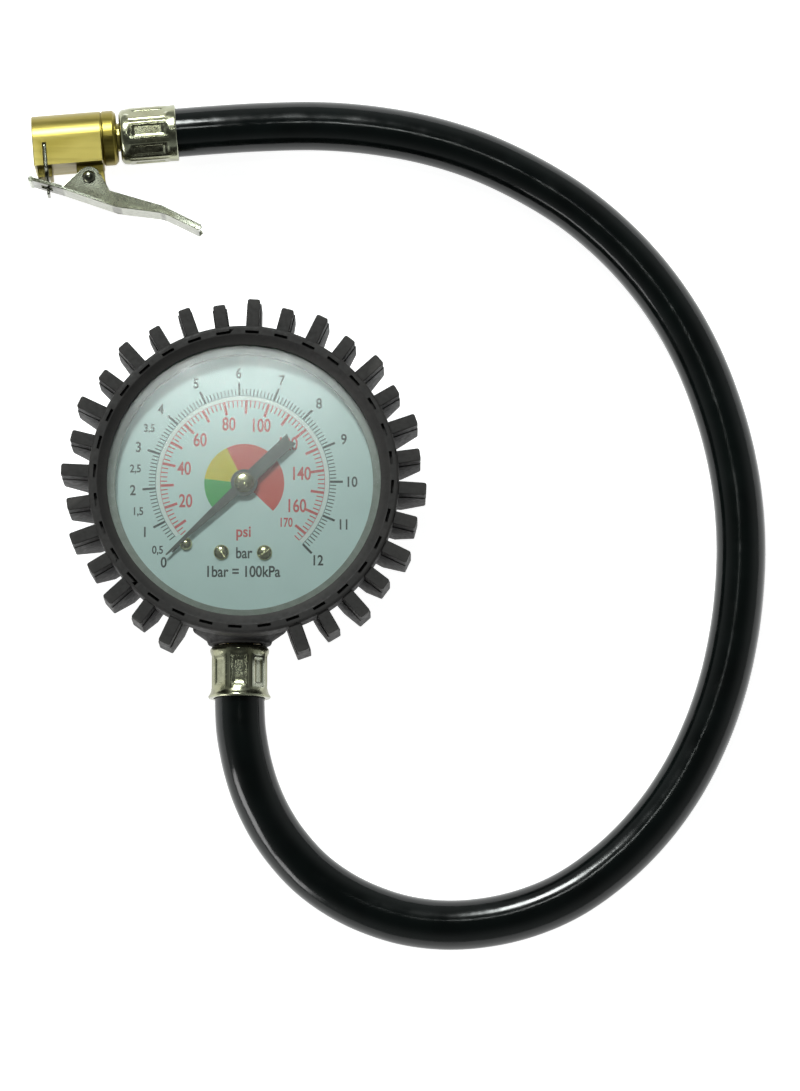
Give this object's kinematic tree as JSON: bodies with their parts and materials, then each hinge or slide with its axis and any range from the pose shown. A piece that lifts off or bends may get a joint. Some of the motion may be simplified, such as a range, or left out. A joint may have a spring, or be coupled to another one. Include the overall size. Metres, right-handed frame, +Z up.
{
  "type": "tyre pressure gauge",
  "caption": "Dial tyre pressure gauge in a treaded rubber boot, with a rubber hose and a brass clip-on air chuck worked by a lever.",
  "frame": {"origin": "on the table, under the centre of the dial, on the flat back of the rubber boot", "axes": "+Z up, out of the dial; +Y towards the dial's top, away from the hose; +X to the right of the dial"},
  "size_m": [0.1942, 0.2251, 0.034],
  "materials": {
    "boot_rubber": "matte moulded rubber",
    "sheet_steel": "drawn steel sheet",
    "zinc_plate": "zinc plated, slightly olive",
    "nickel_plate": "nickel plated stamped steel",
    "brass_body": "turned brass",
    "movement_brass": "stamped brass",
    "dial_print": "pale enamel with a printed scale",
    "pointer_paint": "dark satin paint",
    "lens_clear": "clear moulded window",
    "gasket_white": "off-white rubber",
    "hose_rubber": "glossy black hose",
    "seal_rubber": "black rubber"
  },
  "bodies": {
    "gauge": {"rubber_boot": "boot_rubber", "gauge_case": "sheet_steel", "bezel_ring": "sheet_steel", "lens": "lens_clear", "lens_gasket": "gasket_white", "dial_plate": "dial_print", "dial_screw_left": "movement_brass", "dial_screw_right": "movement_brass", "dial_post_left": "movement_brass", "dial_post_right": "movement_brass", "stop_pin": "movement_brass", "gauge_socket": "movement_brass", "movement_rear_plate": "movement_brass", "movement_front_plate": "movement_brass", "pillar_upper": "movement_brass", "pillar_lower": "movement_brass", "movement_screw_upper": "sheet_steel", "movement_screw_lower": "sheet_steel", "plate_screw_upper": "sheet_steel", "plate_screw_lower": "sheet_steel", "case_screw_left": "sheet_steel", "case_screw_right": "sheet_steel", "gauge_nipple": "brass_body", "gauge_ferrule": "zinc_plate", "hose": "hose_rubber", "chuck_nipple": "brass_body", "chuck_ferrule": "zinc_plate", "chuck_body": "brass_body", "chuck_seal": "seal_rubber", "depressor_pin": "brass_body", "lever_rivet": "nickel_plate", "lever_spring": "sheet_steel"},
    "sector": {"sector_gear": "movement_brass", "sector_arbor": "sheet_steel", "sector_link_pin": "sheet_steel"},
    "pointer_shaft": {"pointer": "pointer_paint", "pointer_cap": "movement_brass", "pinion_arbor": "movement_brass", "hairspring": "movement_brass"},
    "tube": {"bourdon_tube": "movement_brass", "tube_end_piece": "movement_brass", "tip_link_pin": "sheet_steel"},
    "link": {"link": "movement_brass"},
    "lever": {"lever": "nickel_plate"},
    "claw": {"claw_plate": "nickel_plate"}
  },
  "joints": [
    {"name": "sector_pivot", "type": "hinge", "parent": "gauge", "child": "sector", "pos_m": [0.01559, -0.009, 0.0158], "axis": [0, 0, 1], "range_deg": [0, 30], "stiffness_Nm_per_rad": 0.02, "springref_deg": -2.86},
    {"name": "pointer_spin", "type": "hinge", "parent": "gauge", "child": "pointer_shaft", "pos_m": [0, 0, 0.0158], "axis": [0, 0, 1], "range_deg": [-271, 1], "deforming": ["hairspring"]},
    {"name": "tube_flex", "type": "hinge", "parent": "gauge", "child": "tube", "pos_m": [-0.00699, -0.02608, 0.016], "axis": [0, 0, 1], "range_deg": [-0.1, 5.8]},
    {"name": "link_pivot", "type": "hinge", "parent": "tube", "child": "link", "pos_m": [0.0216, -0.0012, 0.0172], "axis": [0, 0, 1], "range_deg": [-0.2, 12.7]},
    {"name": "lever_pivot", "type": "hinge", "parent": "gauge", "child": "lever", "pos_m": [-0.04165, 0.0839, 0.0076], "axis": [0, 0, 1], "range_deg": [0, 18], "stiffness_Nm_per_rad": 0.15, "springref_deg": -20.05, "deforming": ["lever_spring"]},
    {"name": "claw_slide", "type": "slide", "parent": "gauge", "child": "claw", "axis": [0.0819, -0.9966, 0], "range_m": [-0.00005, 0.0035]}
  ],
  "couplings": [
    {"joint": "pointer_spin", "follows": "sector_pivot", "ratio": -9},
    {"joint": "tube_flex", "follows": "sector_pivot", "ratio": 0.1898},
    {"joint": "link_pivot", "follows": "sector_pivot", "ratio": 0.4168},
    {"joint": "claw_slide", "follows": "lever_pivot", "m_per_rad": 0.0108}
  ]
}
